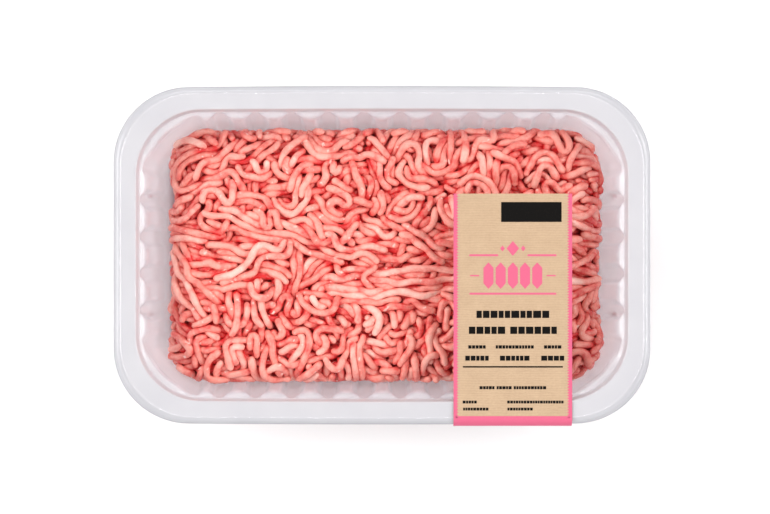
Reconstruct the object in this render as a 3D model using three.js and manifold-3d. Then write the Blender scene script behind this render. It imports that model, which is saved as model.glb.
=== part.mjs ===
// A sealed retail pack of minced pork: a translucent formed tray with fluted walls, the heap of mince
// in it, a clear film sealed across the mouth, and a paper label that bends over the front of the rim.
// Millimetres, +Z up. The origin is the middle of the tray's underside, +X runs along the long side,
// and -Y is the labelled front.

import * as THREE from "three";
import { mergeVertices } from "three/addons/utils/BufferGeometryUtils.js";
import Module from "manifold-3d";

const wasm = await Module();
wasm.setup();

// Tray, measured over the outer edge of the rim. An inset counts inwards from that edge.
const LENGTH = 230;
const WIDTH = 145;
const HEIGHT = 50;
const WALL = 0.8;
const RIM_WIDTH = 10;
const RIM_CORNER = 32;
const MOUTH_CORNER = 28;

// The rim's outer edge rolls over into a short skirt. A drop counts down from the rim's flat face.
const SKIRT_DROP = 4.5;
const RIM_ROLL = [
  { inset: 0, drop: SKIRT_DROP },
  { inset: 0.5, drop: 2.4 },
  { inset: 1.5, drop: 0.7 },
  { inset: 3, drop: 0 },
];

// The basin's inner wall: a steep collar under the rim, a shoulder that only the pillars have, a
// drafted wall and a rounded foot. The flutes between the pillars keep close to the collar.
const COLLAR = { inset: 10.8, z: 45 };
const SHOULDER = { inset: 14.3, fluted: 11.6, z: 42 };
const WALL_FOOT = { inset: 17.9, fluted: 16.4, z: 6 };
const FILLET = { inset: 19.4, z: 2.4 };
const FLOOR = { inset: 22.4, z: WALL };
const LONG_SIDE = { pitch: 15.5, pillars: 9, pillarWidth: 5.6, slope: 1.2 };
const SHORT_SIDE = { pitch: 16, pillars: 3, pillarWidth: 8.4, slope: 1.2 };

// Film and label, each lying a hair above what carries it. The label's underside follows the roll of
// the rim: an overhang counts outwards from the rim's outer edge, and a rise counts up from its face.
const FILM = { inset: 2.6, underside: HEIGHT + 0.1, thickness: 0.3 };
const LABEL = { left: 30.5, right: 81.1, back: 26.3, thickness: 0.25, clearance: 0.1 };
const LABEL_BEND = [
  { overhang: -2.2, rise: 0.5 },
  { overhang: -0.9, rise: -0.3 },
  { overhang: 0, rise: -2.2 },
  { overhang: 0.4, rise: -SKIRT_DROP },
];

// Mince: a drafted heap with a rolled shoulder on a narrower foot. Its top dips and swells slowly.
const HEAP = { halfLength: 92.5, halfWidth: 53.2, top: 28.2, corner: 17, roll: 7, draft: 0.13 };
const HEAP_FOOT = { base: 1.2, z: 5, inset: 3.5 };
const HEAP_ROLL_HALFWAY = 0.29;
const HEAP_TOP_RINGS = [1, 0.72, 0.4];
const HEAP_STATIONS = { long: 6, short: 3, spread: 0.8 };
const SWELL = {
  broad: { height: 0.9, x: 17, y: 13, shift: 0.6 },
  narrow: { height: 0.7, x: 9, y: 11 },
};

// The strands that stand out of the heap have the bore of the mincing plate. A strand's heading swings
// by up to swing radians to each side along each wave, and lowest keeps it clear of the tray.
const STRAND = { radius: 1.6, sides: 5, steps: 13, pitch: 2.4, stand: 0.8, lowest: 6.5 };
const MEANDER = {
  swing: [0.4, 1.75],
  wave: [15, 24],
  length: [0.8, 1.15],
  drift: 0.9,
  bob: { height: 0.5, turn: 0.9 },
};
const STRAND_GRID = { columns: 9, rows: 4, overhang: 14, jitter: 0.28, stagger: 0.25 };
const SEED = 203;

// Facets.
const RIM_ARC_STEPS = 9;
const BASIN_ARC_STEPS = 6;
const HEAP_ARC_STEPS = 5;
const MERGE_TOLERANCE = 1e-4;
const SLIVER = 0.004;

const QUARTER_TURN = Math.PI / 2;

function toSolid(geometry) {
  const bare = geometry.clone();
  bare.deleteAttribute("normal");
  bare.deleteAttribute("uv");
  const merged = mergeVertices(bare, MERGE_TOLERANCE);
  return new wasm.Manifold(
    new wasm.Mesh({
      numProp: 3,
      vertProperties: merged.attributes.position.array,
      triVerts: new Uint32Array(merged.index.array),
    }),
  );
}

function toGeometry(solid) {
  const { vertProperties, triVerts } = solid.getMesh();
  const geometry = new THREE.BufferGeometry();
  geometry.setAttribute("position", new THREE.BufferAttribute(vertProperties, 3));
  geometry.setIndex(new THREE.BufferAttribute(triVerts, 1));
  geometry.computeVertexNormals();
  return geometry;
}

// A closed body through rings that rise from the first to the last. Each ring has the same number of
// points, anticlockwise from above, and a fan closes each end.
function loft(rings) {
  const count = rings[0].length;
  const points = rings.flat();
  const faces = [];
  const middleOf = (ring) =>
    ring.reduce((sum, point) => sum.add(point), new THREE.Vector3()).divideScalar(count);
  const bottom = points.push(middleOf(rings[0])) - 1;
  const top = points.push(middleOf(rings.at(-1))) - 1;
  const lastRing = count * (rings.length - 1);
  for (let i = 0; i < count; i++) {
    const next = (i + 1) % count;
    for (let base = 0; base < lastRing; base += count) {
      const above = base + count;
      faces.push(base + i, base + next, above + next, base + i, above + next, above + i);
    }
    faces.push(bottom, next, i, top, lastRing + i, lastRing + next);
  }
  const geometry = new THREE.BufferGeometry().setFromPoints(points);
  geometry.setIndex(faces);
  return toSolid(geometry);
}

// A rounded rectangle at one height. Each of its sides also has points at its stations, and those in a
// flute lie fluteDepth further out than the side does.
function roundedRing(halves, radius, z, arcSteps, stations = [[], []], fluteDepth = 0) {
  const points = [];
  for (let side = 0; side < 4; side++) {
    const turn = side * QUARTER_TURN;
    const outward = new THREE.Vector3(Math.cos(turn), Math.sin(turn), 0);
    const along = new THREE.Vector3(-outward.y, outward.x, 0);
    const reach = halves[side % 2];
    const at = (out, beside) =>
      outward.clone().multiplyScalar(out).addScaledVector(along, beside).setZ(z);
    for (const station of stations[side % 2]) {
      points.push(at(reach + (station.fluted ? fluteDepth : 0), station.along));
    }
    const corner = at(reach - radius, halves[(side + 1) % 2] - radius);
    for (let step = 0; step <= arcSteps; step++) {
      const angle = turn + (QUARTER_TURN * step) / arcSteps;
      points.push(
        new THREE.Vector3(Math.cos(angle), Math.sin(angle), 0).multiplyScalar(radius).add(corner),
      );
    }
  }
  return points;
}

// The rim's corners tighten a little towards the mouth, and the basin's are concentric with the mouth's.
function trayCorner(inset) {
  return inset <= RIM_WIDTH
    ? THREE.MathUtils.lerp(RIM_CORNER, MOUTH_CORNER, inset / RIM_WIDTH)
    : MOUTH_CORNER - (inset - RIM_WIDTH);
}

function trayRing({ inset, fluted = inset, z }, arcSteps, stations) {
  const halves = [LENGTH / 2 - inset, WIDTH / 2 - inset];
  return roundedRing(halves, trayCorner(inset), z, arcSteps, stations, inset - fluted);
}

// Where the points of a fluted side lie along it, and which of them are in a flute.
function fluteStations({ pitch, pillars, pillarWidth, slope }) {
  const edge = pillarWidth / 2;
  const stations = [];
  for (let k = 0; k < pillars; k++) {
    const middle = (k - (pillars - 1) / 2) * pitch;
    stations.push({ along: middle - edge - slope, fluted: true });
    stations.push({ along: middle - edge, fluted: false });
    stations.push({ along: middle + edge, fluted: false });
    stations.push({ along: middle + edge + slope, fluted: true });
  }
  const outer = stations.at(-1).along + pitch - pillarWidth - 2 * slope;
  stations.unshift({ along: -outer - slope, fluted: false }, { along: -outer, fluted: true });
  stations.push({ along: outer, fluted: true }, { along: outer + slope, fluted: false });
  return stations;
}

// The rim: a flat ring whose outer edge rolls over into a short skirt, hollow underneath.
function rimSolid() {
  const outside = RIM_ROLL.map(({ inset, drop }) => ({ inset, z: HEIGHT - drop }));
  const hollow = outside.map(({ inset, z }) => ({ inset: inset + WALL, z: z - WALL }));
  hollow[0] = { inset: WALL, z: HEIGHT - SKIRT_DROP - 2 * WALL };
  const shell = (profile) => loft(profile.map((point) => trayRing(point, RIM_ARC_STEPS)));
  return shell(outside).subtract(shell(hollow));
}

function basinProfile() {
  return [FLOOR, FILLET, WALL_FOOT, SHOULDER, COLLAR, { inset: RIM_WIDTH, z: HEIGHT }];
}

// The outside of the same wall, one wall thickness further out.
function basinOutside() {
  return basinProfile().map(({ inset, fluted = inset, z }) => {
    const steep = z > FILLET.z;
    const out = steep ? WALL : WALL / 2;
    const down = z === HEIGHT ? 0 : steep ? WALL / 2 : WALL;
    return { inset: inset - out, fluted: fluted - out, z: z - down };
  });
}

function traySolid() {
  const stations = [fluteStations(SHORT_SIDE), fluteStations(LONG_SIDE)];
  const shell = (profile) =>
    loft(profile.map((point) => trayRing(point, BASIN_ARC_STEPS, stations)));
  const mouth = { inset: RIM_WIDTH, z: HEIGHT + WALL };
  return rimSolid().add(shell(basinOutside())).subtract(shell([...basinProfile(), mouth]));
}

function filmSolid() {
  const ring = (z) => trayRing({ inset: FILM.inset, z }, RIM_ARC_STEPS);
  return loft([ring(FILM.underside), ring(FILM.underside + FILM.thickness)]);
}

// The label: its cross-section runs from the back edge over the film and down the rim's rolled front,
// and is extruded along X.
function labelGeometry() {
  const face = FILM.underside + FILM.thickness + LABEL.clearance;
  const underside = [
    [LABEL.back, face],
    ...LABEL_BEND.map(({ overhang, rise }) => [-WIDTH / 2 - overhang, HEIGHT + rise]),
  ];
  const topside = underside.map(([y, z], i) => {
    const bend = (QUARTER_TURN * i) / (underside.length - 1);
    return [y - LABEL.thickness * Math.sin(bend), z + LABEL.thickness * Math.cos(bend)];
  });
  const outline = [...underside, ...topside.reverse()].map(([y, z]) => new THREE.Vector2(y, z));
  const geometry = new THREE.ExtrudeGeometry(new THREE.Shape(outline), {
    depth: LABEL.right - LABEL.left,
    bevelEnabled: false,
  });
  const toWorld = new THREE.Matrix4().makeBasis(
    new THREE.Vector3(0, 1, 0),
    new THREE.Vector3(0, 0, 1),
    new THREE.Vector3(1, 0, 0),
  );
  return geometry.applyMatrix4(toWorld).translate(LABEL.left, 0, 0);
}

function seededRandom(seed) {
  let state = seed;
  return () => {
    state = (Math.imul(state, 1664525) + 1013904223) >>> 0;
    return state / 2 ** 32;
  };
}

function swell(x, y) {
  const { broad, narrow } = SWELL;
  return (
    broad.height * Math.sin(x / broad.x + broad.shift) * Math.cos(y / broad.y) +
    narrow.height * Math.sin(x / narrow.x - y / narrow.y)
  );
}

// A flat sheet's point (x, y) laid over the heap: past the top's edge it goes round the heap's rolled
// shoulder and down its drafted side, as far as the lowest strands. Lift is the height above the core.
function onHeap(x, y, lift) {
  const inner = HEAP.corner;
  const nearX = THREE.MathUtils.clamp(x, inner - HEAP.halfLength, HEAP.halfLength - inner);
  const nearY = THREE.MathUtils.clamp(y, inner - HEAP.halfWidth, HEAP.halfWidth - inner);
  const outward = new THREE.Vector2(x - nearX, y - nearY);
  const flatReach = inner - HEAP.roll;
  const past = Math.max(0, outward.length() - flatReach);
  const turn = Math.min(past / HEAP.roll, QUARTER_TURN);
  const lowest = HEAP.top - HEAP.roll - STRAND.lowest;
  const drop = THREE.MathUtils.clamp(past - HEAP.roll * QUARTER_TURN, 0, lowest);
  const roundReach = (HEAP.roll + lift) * Math.sin(turn) - HEAP.draft * drop;
  outward.setLength(Math.min(outward.length(), flatReach) + roundReach);
  return new THREE.Vector3(
    nearX + outward.x,
    nearY + outward.y,
    HEAP.top + swell(nearX, nearY) - HEAP.roll + (HEAP.roll + lift) * Math.cos(turn) - drop,
  );
}

// Evenly spread plain points along a side of the heap whose straight part is twice straightHalf long.
function heapStations(straightHalf, count) {
  const reach = straightHalf * HEAP_STATIONS.spread;
  return Array.from({ length: count }, (_, i) => ({
    along: THREE.MathUtils.lerp(-reach, reach, i / (count - 1)),
    fluted: false,
  }));
}

function heapRing(shrink, z, scale = 1) {
  const halfLength = (HEAP.halfLength - shrink) * scale;
  const halfWidth = (HEAP.halfWidth - shrink) * scale;
  const corner = (HEAP.corner - Math.min(shrink, HEAP.corner / 2)) * scale;
  const stations = [
    heapStations(halfWidth - corner, HEAP_STATIONS.short),
    heapStations(halfLength - corner, HEAP_STATIONS.long),
  ];
  return roundedRing([halfLength, halfWidth], corner, z, HEAP_ARC_STEPS, stations);
}

// The core: a foot on the tray's floor, the drafted side, the rolled shoulder and the swelling top.
function coreSolid() {
  const swollen = (shrink, scale, down) =>
    heapRing(shrink, 0, scale).map((point) =>
      point.setZ(HEAP.top + swell(point.x, point.y) - down),
    );
  const sideBottom = HEAP.draft * (HEAP.top - HEAP.roll - HEAP_FOOT.z);
  const halfway = HEAP.roll * HEAP_ROLL_HALFWAY;
  return loft([
    heapRing(HEAP_FOOT.inset + sideBottom, HEAP_FOOT.base),
    heapRing(sideBottom, HEAP_FOOT.z),
    swollen(0, 1, HEAP.roll),
    swollen(halfway, 1, halfway),
    ...HEAP_TOP_RINGS.map((scale) => swollen(HEAP.roll, scale, 0)),
  ]);
}

function strandSection() {
  return new THREE.Shape(
    Array.from({ length: STRAND.sides }, (_, i) => {
      const angle = (i * 2 * Math.PI) / STRAND.sides;
      return new THREE.Vector2(Math.cos(angle), Math.sin(angle)).multiplyScalar(STRAND.radius);
    }),
  );
}

// One strand as a meander whose middle is at (x, y) on the flat sheet: minced meat buckles like this
// where it lands.
function strandGeometry(random, x, y) {
  const within = ([low, high]) => THREE.MathUtils.lerp(low, high, random());
  const heading = (random() < 0.5 ? 0 : Math.PI) + (random() - 0.5) * MEANDER.drift;
  const swing = within(MEANDER.swing);
  const wave = within(MEANDER.wave);
  const phase = random() * 2 * Math.PI;
  const steps = Math.round(STRAND.steps * within(MEANDER.length));
  const flat = [new THREE.Vector2(0, 0)];
  for (let i = 1; i <= steps; i++) {
    const angle = heading + swing * Math.sin((2 * Math.PI * i * STRAND.pitch) / wave + phase);
    const step = new THREE.Vector2(Math.cos(angle), Math.sin(angle)).multiplyScalar(STRAND.pitch);
    flat.push(flat.at(-1).clone().add(step));
  }
  const middle = flat.reduce((sum, p) => sum.add(p), new THREE.Vector2()).divideScalar(flat.length);
  const path = flat.map((p, i) => {
    const lift = STRAND.stand + MEANDER.bob.height * Math.sin(i * MEANDER.bob.turn + phase);
    return onHeap(p.x - middle.x + x, p.y - middle.y + y, lift);
  });
  return new THREE.ExtrudeGeometry(strandSection(), {
    steps,
    bevelEnabled: false,
    extrudePath: new THREE.CatmullRomCurve3(path),
  });
}

// The core with its strands, which a jittered grid on the flat sheet spreads over the top and sides.
function minceSolid() {
  const random = seededRandom(SEED);
  const { columns, rows, overhang, jitter, stagger } = STRAND_GRID;
  const spanX = 2 * (HEAP.halfLength + overhang);
  const spanY = 2 * (HEAP.halfWidth + overhang);
  const place = (index, count, shift) =>
    (index + 0.5 + shift + (random() - 0.5) * jitter) / count - 0.5;
  const pieces = [coreSolid()];
  for (let row = 0; row < rows; row++) {
    for (let column = 0; column < columns; column++) {
      const x = spanX * place(column, columns, row % 2 ? stagger : -stagger);
      const y = spanY * place(row, rows, 0);
      pieces.push(toSolid(strandGeometry(random, x, y)));
    }
  }
  const bodies = wasm.Manifold.union(pieces).simplify(SLIVER).decompose();
  return bodies.reduce((best, body) => (body.volume() > best.volume() ? body : best));
}

function mesh(name, geometry, material) {
  const made = new THREE.Mesh(geometry, new THREE.MeshStandardMaterial(material));
  made.name = name;
  return made;
}

const pack = new THREE.Group();
pack.add(
  mesh("tray", toGeometry(traySolid()), {
    color: 0xe6e2e6,
    roughness: 0.3,
    metalness: 0,
    transparent: true,
    opacity: 0.6,
  }),
  mesh("mince", toGeometry(minceSolid()), { color: 0xf78c80, roughness: 0.45, metalness: 0 }),
  mesh("film", toGeometry(filmSolid()), {
    color: 0xffffff,
    roughness: 0.08,
    metalness: 0,
    transparent: true,
    opacity: 0.15,
  }),
  mesh("label", labelGeometry(), { color: 0xe2c19e, roughness: 0.7, metalness: 0 }),
);

export default pack;
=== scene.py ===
# A sealed tray of minced pork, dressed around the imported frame. Lengths are millimetres until a mesh
# is made from them, +X runs along the tray, and -Y is the labelled front.
import math

import bpy
import numpy as np
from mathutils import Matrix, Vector


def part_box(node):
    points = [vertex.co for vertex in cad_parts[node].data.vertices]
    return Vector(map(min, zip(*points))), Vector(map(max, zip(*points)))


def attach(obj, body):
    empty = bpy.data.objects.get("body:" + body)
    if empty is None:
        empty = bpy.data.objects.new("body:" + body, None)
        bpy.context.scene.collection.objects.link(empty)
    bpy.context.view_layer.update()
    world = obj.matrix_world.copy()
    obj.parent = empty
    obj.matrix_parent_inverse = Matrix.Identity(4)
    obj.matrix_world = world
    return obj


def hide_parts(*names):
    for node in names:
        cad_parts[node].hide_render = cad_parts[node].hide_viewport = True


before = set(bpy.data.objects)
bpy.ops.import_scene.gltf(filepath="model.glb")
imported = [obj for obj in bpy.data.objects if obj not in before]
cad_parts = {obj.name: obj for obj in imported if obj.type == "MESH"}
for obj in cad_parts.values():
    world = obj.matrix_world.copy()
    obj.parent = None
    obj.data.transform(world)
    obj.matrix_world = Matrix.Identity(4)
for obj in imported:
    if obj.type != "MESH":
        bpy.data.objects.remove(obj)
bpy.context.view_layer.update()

MM = 0.001


def box_mm(node):
    low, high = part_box(node)
    return np.array(low) / MM, np.array(high) / MM


tray_low, tray_high = box_mm("tray")
mince_low, mince_high = box_mm("mince")
film_low, film_high = box_mm("film")
label_low, label_high = box_mm("label")

# Tray. An inset counts inwards from the rim's outer edge.
LENGTH, WIDTH, HEIGHT = tray_high - tray_low
WALL = 0.6
RIM_WIDTH = 10.0
RIM_CORNER = 32.0
MOUTH_CORNER = 28.0
SKIRT_DROP = 4.5
EDGE_BOW = 0.010
FLOOR_INSET = 20.0
FLOOR_END = 46
TRAY_FOOT = 18.6
TRAY_SHOULDER = ((14.7, 41.2), (13.5, 44.3), (10.8, 45.3))
RIM_ROUND = 0.9
INSIDE_CUTS = (4.2, 1.8, 1.3, 0.8, 0.7, 2.4)
OUTSIDE_CUTS = (2.0, 0.7, 0.8, 1.3, 1.8, 4.2)
PROFILE_STEP = 1.2
FLUTE_HEIGHTS = (2.4, 6.0, 42.0, 44.2, 45.4)
FLUTE_DEPTHS = (0.0, 1.5, 2.9, 2.1, 0.0)
FLUTE_SHOULDER = 45.4
FLUTE_ARCH = 4.2
FLUTE_SLOPE = 2.5
CORNER_FLUTE = 0.8
LONG_FLUTES = dict(pitch=15.5, count=10, half_width=5.4)
SHORT_FLUTES = dict(pitch=16.0, count=4, half_width=4.8)
# Painted highlights: soft ovals on the pillars' ledges and crescents on the corners' shoulders, drawn as
# cloudier, whiter plastic.
LEDGE_HIGHLIGHT = 0.95
LONG_LEDGE_HIGHLIGHT = dict(half_width=1.9, inset=13.8, half_depth=0.7)
SHORT_LEDGE_HIGHLIGHT = dict(half_width=2.4, inset=13.5, half_depth=0.9)
SHORT_SPOT_HIGHLIGHT = dict(place=26.0, half_width=1.2, inset=15.8, half_depth=0.4)
CRESCENT_HIGHLIGHT = dict(half_width=0.2, inset=13.9, half_depth=0.32)
SIDE_STEP = 0.85
CORNER_STEPS = 20
RIM_FADE = 1.5
# Painted shade: a grey band painted along the rim's outer edge, deeper down the skirt.
PAINTED_EDGE_SHADE = dict(inset=3.3, fade=0.9, on_top=0.55, below=1.0, drop=1.6)
FILM_RINGS = (1.0, 0.985, 0.96, 0.93, 0.9, 0.86, 0.8, 0.7, 0.55, 0.35, 0.15)
FILM_RIPPLE = dict(height=0.07, round=37, inward=9, start=0.97, rise=12)

# Mince: a core, and strands of the mincing plate's bore that lie on it in layers.
CORE_CORNER = 7.5
CORE_ROLL = 6.5
CORE_DRAFT = 0.13
CORE_BELOW = 8.4
CORE_INSIDE = (7.7, 5.3)
HEAP_SHIFT = 1.1
SWELL_BROAD = dict(height=0.9, x=17.0, y=13.0, shift=0.6)
SWELL_NARROW = dict(height=0.7, x=9.0, y=11.0)
STRAND_RADIUS = 1.6
BEAD_STEP = 1.8
STRAND_PITCH = 3.0
LOWEST_STRAND = 2.6
CORE_FOOT = LOWEST_STRAND + 0.9
CORE_LIFT = -0.2
# Painted shade: the core's tone sets it at the dark end of the meat's colours.
CORE_SHADE_TONE = -0.25
CORE_POINTS = 72
CORE_RINGS = (0.12, 0.35, 0.55, 0.7, 0.8, 0.86, 0.9, 0.94, 0.97, 1.0)
MINCE_SEED = 5

# Paper ribs. A wave texture of scale 1 has about 3.2 bands to the unit.
RIBS_PER_METRE = 950.0
WAVES_PER_UNIT = 3.18
GLOSS_POWER = 5.0

# Colours as sRGB bytes.
PINK_INK = (209, 97, 127)
BLACK_INK = (14, 12, 11)
PAPER = (191, 162, 131)
# Painted shade in the ribs' grooves.
PAPER_GROOVE_SHADE = (186, 157, 126)
PLASTIC_LOW = (225, 223, 228)
PLASTIC_HIGH = (231, 229, 233)
FAT_FLECK = (252, 204, 192)


def linear(colour):
    """An sRGB byte colour as linear RGBA."""
    parts = [c / 255 for c in colour]
    return [p / 12.92 if p <= 0.04045 else ((p + 0.055) / 1.055) ** 2.4 for p in parts] + [1.0]


def add_mesh(name, points, faces, material, smooth=True):
    """A mesh object from points in millimetres."""
    mesh = bpy.data.meshes.new(name)
    mesh.from_pydata((np.asarray(points) * MM).tolist(), [], [list(map(int, f)) for f in faces])
    mesh.materials.append(material)
    mesh.polygons.foreach_set("use_smooth", [smooth] * len(mesh.polygons))
    mesh.update()
    thing = bpy.data.objects.new(name, mesh)
    bpy.context.scene.collection.objects.link(thing)
    return thing


def set_attribute(thing, name, values):
    attribute = thing.data.attributes.new(name, "FLOAT", "POINT")
    attribute.data.foreach_set("value", np.asarray(values, float))


def closed_skin(name, rings, middles, material):
    """A closed mesh of rings of points, fanned shut at a middle point at each end."""
    count = len(rings[0])
    points = np.vstack([*rings, middles])
    faces = ring_quads(len(rings), count)
    last = (len(rings) - 1) * count
    for i in range(count):
        nxt = (i + 1) % count
        faces.append((len(points) - 2, nxt, i))
        faces.append((len(points) - 1, last + i, last + nxt))
    return add_mesh(name, points, [face[::-1] for face in faces], material)


def ring_quads(rings, count):
    """Quads between successive rings of count points each."""
    start = np.arange(rings - 1)[:, None] * count
    i = np.arange(count)[None, :]
    nxt = (i + 1) % count
    quads = np.stack([start + i, start + nxt, start + count + nxt, start + count + i], axis=-1)
    return quads.reshape(-1, 4).tolist()


# Materials


def new_material(name):
    material = bpy.data.materials.new(name)
    material.use_nodes = True
    return material, material.node_tree


def set_inputs(tree, node, inputs):
    """Give a node's inputs their values, or join them to another node's output."""
    for name, value in inputs.items():
        if isinstance(value, bpy.types.NodeSocket):
            tree.links.new(value, node.inputs[name])
        else:
            node.inputs[name].default_value = value


def add_node(tree, kind, inputs, output=0):
    """One output of a new node with these inputs."""
    node = tree.nodes.new(kind)
    set_inputs(tree, node, inputs)
    return node.outputs[output]


def set_shader(tree, inputs):
    """The output of the material's first shader, once its inputs are set."""
    shader = tree.nodes["Principled BSDF"]
    set_inputs(tree, shader, inputs)
    return shader.outputs["BSDF"]


def set_surface(tree, surface):
    set_inputs(tree, tree.nodes["Material Output"], {"Surface": surface})


def object_place(tree):
    return add_node(tree, "ShaderNodeTexCoord", {}, "Object")


def noise(tree, per_metre, detail=3.0, roughness=0.55):
    """A noise in object space."""
    inputs = {"Vector": object_place(tree), "Scale": per_metre, "Detail": detail, "Roughness": roughness}
    return add_node(tree, "ShaderNodeTexNoise", inputs, "Fac")


def ramp(tree, value, stops):
    """A colour ramp with (position, colour) stops."""
    colours = add_node(tree, "ShaderNodeValToRGB", {"Fac": value}, "Color")
    elements = colours.node.color_ramp.elements
    while len(elements) < len(stops):
        elements.new(0.5)
    for element, (position, colour) in zip(elements, stops):
        element.position = position
        element.color = colour
    return colours


def remap(tree, value, source, target):
    inputs = dict(zip(("From Min", "From Max", "To Min", "To Max"), (*source, *target)))
    return add_node(tree, "ShaderNodeMapRange", {"Value": value, **inputs}, "Result")


def combine(tree, operation, first, second):
    """Two numbers joined by an operation such as ADD."""
    value = add_node(tree, "ShaderNodeMath", {0: first, 1: second}, "Value")
    value.node.operation = operation
    return value


def attribute(tree, name):
    """A number that the mesh carries on its points."""
    value = add_node(tree, "ShaderNodeAttribute", {}, "Fac")
    value.node.attribute_name = name
    return value


def bump(tree, height, distance_mm, strength=1.0):
    inputs = {"Strength": strength, "Distance": distance_mm * MM, "Height": height}
    return add_node(tree, "ShaderNodeBump", inputs, "Normal")


def mix_shaders(tree, share, first, second):
    return add_node(tree, "ShaderNodeMixShader", {"Fac": share, 1: first, 2: second}, "Shader")


def facing(tree, blend):
    """How steeply a surface is seen: 0 straight on, 1 along it."""
    return add_node(tree, "ShaderNodeLayerWeight", {"Blend": blend}, "Facing")


def gloss_share(tree, straight, grazing):
    """The share of light that a thin sheet reflects, from either side."""
    steep = combine(tree, "POWER", facing(tree, 0.5), GLOSS_POWER)
    return remap(tree, steep, (0.0, 1.0), (straight, grazing))


def mix_colours(tree, blend, factor, first, second):
    mix = tree.nodes.new("ShaderNodeMix")
    mix.data_type = "RGBA"
    mix.blend_type = blend
    set_inputs(tree, mix, {"Factor": factor, "A": first, "B": second})
    return mix.outputs["Result"]


def multiply(tree, first, second, factor=1.0):
    return mix_colours(tree, "MULTIPLY", factor, first, second)


def tray_plastic():
    """Milky, glossy plastic: drawn thin in the basin and cloudy in the rim, with painted shade greying
    its outer edge, painted highlights on its ledges and a painted pink reflection of the meat in its
    basin.
    """
    material, tree = new_material("tray_plastic")
    # The rim attribute carries the cloudy rim and the painted highlights on the pillars' ledges.
    rim, edge = attribute(tree, "rim"), attribute(tree, "edge")
    clouds = noise(tree, 60, detail=4.0)
    tint = ramp(tree, clouds, [(0.3, linear(PLASTIC_LOW)), (0.7, linear(PLASTIC_HIGH))])
    # The edge attribute is painted shade: it greys the outer edge of the rim and the skirt.
    edge_shade = ramp(tree, edge, [(0.0, (1, 1, 1, 1)), (1.0, (0.66, 0.67, 0.69, 1))])
    # Painted reflection: a pink tint in the basin stands in for the meat's colour reflected in the
    # walls; the rim is tinted grey.
    basin_reflection_tint = ramp(tree, rim, [(0.0, (1.0, 0.92, 0.95, 1)), (1.0, (0.86, 0.86, 0.86, 1))])
    colour = multiply(tree, multiply(tree, tint, edge_shade), basin_reflection_tint)
    matt = set_shader(tree, {"Base Color": colour, "Roughness": 0.5, "Specular IOR Level": 0.0})
    glow = add_node(tree, "ShaderNodeBsdfTranslucent", {"Color": tint})
    milk = mix_shaders(tree, remap(tree, rim, (0.0, 1.0), (0.5, 0.0)), matt, glow)
    least = remap(tree, rim, (0.0, 1.0), (0.4, 0.8))
    most = remap(tree, rim, (0.0, 1.0), (0.46, 0.9))
    opacity = remap(tree, facing(tree, 0.35), (0.0, 1.0), (least, most))
    clear = add_node(tree, "ShaderNodeBsdfTransparent", {})
    body = mix_shaders(tree, opacity, clear, milk)
    rough = remap(tree, noise(tree, 300), (0.3, 0.7), (0.1, 0.17))
    normal = bump(tree, noise(tree, 110, detail=2.0), 0.06)
    gloss = add_node(tree, "ShaderNodeBsdfGlossy", {"Roughness": rough, "Normal": normal})
    set_surface(tree, mix_shaders(tree, gloss_share(tree, 0.06, 0.25), body, gloss))
    return material


def clear_film():
    """Thin clear lidding film: nothing but the gloss of its two faces, on slight waves."""
    material, tree = new_material("clear_film")
    rough = remap(tree, noise(tree, 30), (0.3, 0.7), (0.03, 0.09))
    normal = bump(tree, noise(tree, 45, detail=2.0), 0.2)
    inputs = {"Base Color": (0.97, 0.97, 0.98, 1), "Metallic": 1.0, "Roughness": rough, "Normal": normal}
    gloss = set_shader(tree, inputs)
    clear = add_node(tree, "ShaderNodeBsdfTransparent", {})
    set_surface(tree, mix_shaders(tree, gloss_share(tree, 0.02, 0.45), clear, gloss))
    return material


def label_paper():
    """Matt kraft-coloured paper with fine, slightly uneven cross ribs, their grooves painted a shade
    darker.
    """
    material, tree = new_material("label_paper")
    inputs = {"Distortion": 2.2, "Detail": 2.0, "Detail Scale": 0.6}
    inputs |= {"Vector": object_place(tree), "Scale": RIBS_PER_METRE / WAVES_PER_UNIT}
    ribs = add_node(tree, "ShaderNodeTexWave", inputs, "Fac")
    ribs.node.bands_direction = "Y"
    patches, fibres = noise(tree, 140), noise(tree, 1100)
    tone = ramp(tree, ribs, [(0.0, linear(PAPER_GROOVE_SHADE)), (0.6, linear(PAPER))])
    worn = ramp(tree, patches, [(0.3, (0.93, 0.92, 0.91, 1)), (0.7, (1, 1, 1, 1))])
    speck = ramp(tree, fibres, [(0.3, (0.86, 0.84, 0.82, 1)), (0.6, (1, 1, 1, 1))])
    paper = multiply(tree, multiply(tree, tone, worn), speck, 0.5)
    set_shader(tree, {"Base Color": paper, "Roughness": 0.62, "Normal": bump(tree, ribs, 0.03)})
    return material


def ink(name, colour, wear):
    """Printing ink with the paper's grain showing through."""
    material, tree = new_material(name)
    full = linear(colour)
    worn = [(1 - wear) * c + wear * p for c, p in zip(full, linear(PAPER))]
    print_colour = ramp(tree, noise(tree, 1400, detail=2.0), [(0.2, worn), (0.42, full)])
    set_shader(tree, {"Base Color": print_colour, "Roughness": 0.65, "Specular IOR Level": 0.08})
    return material


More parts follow.
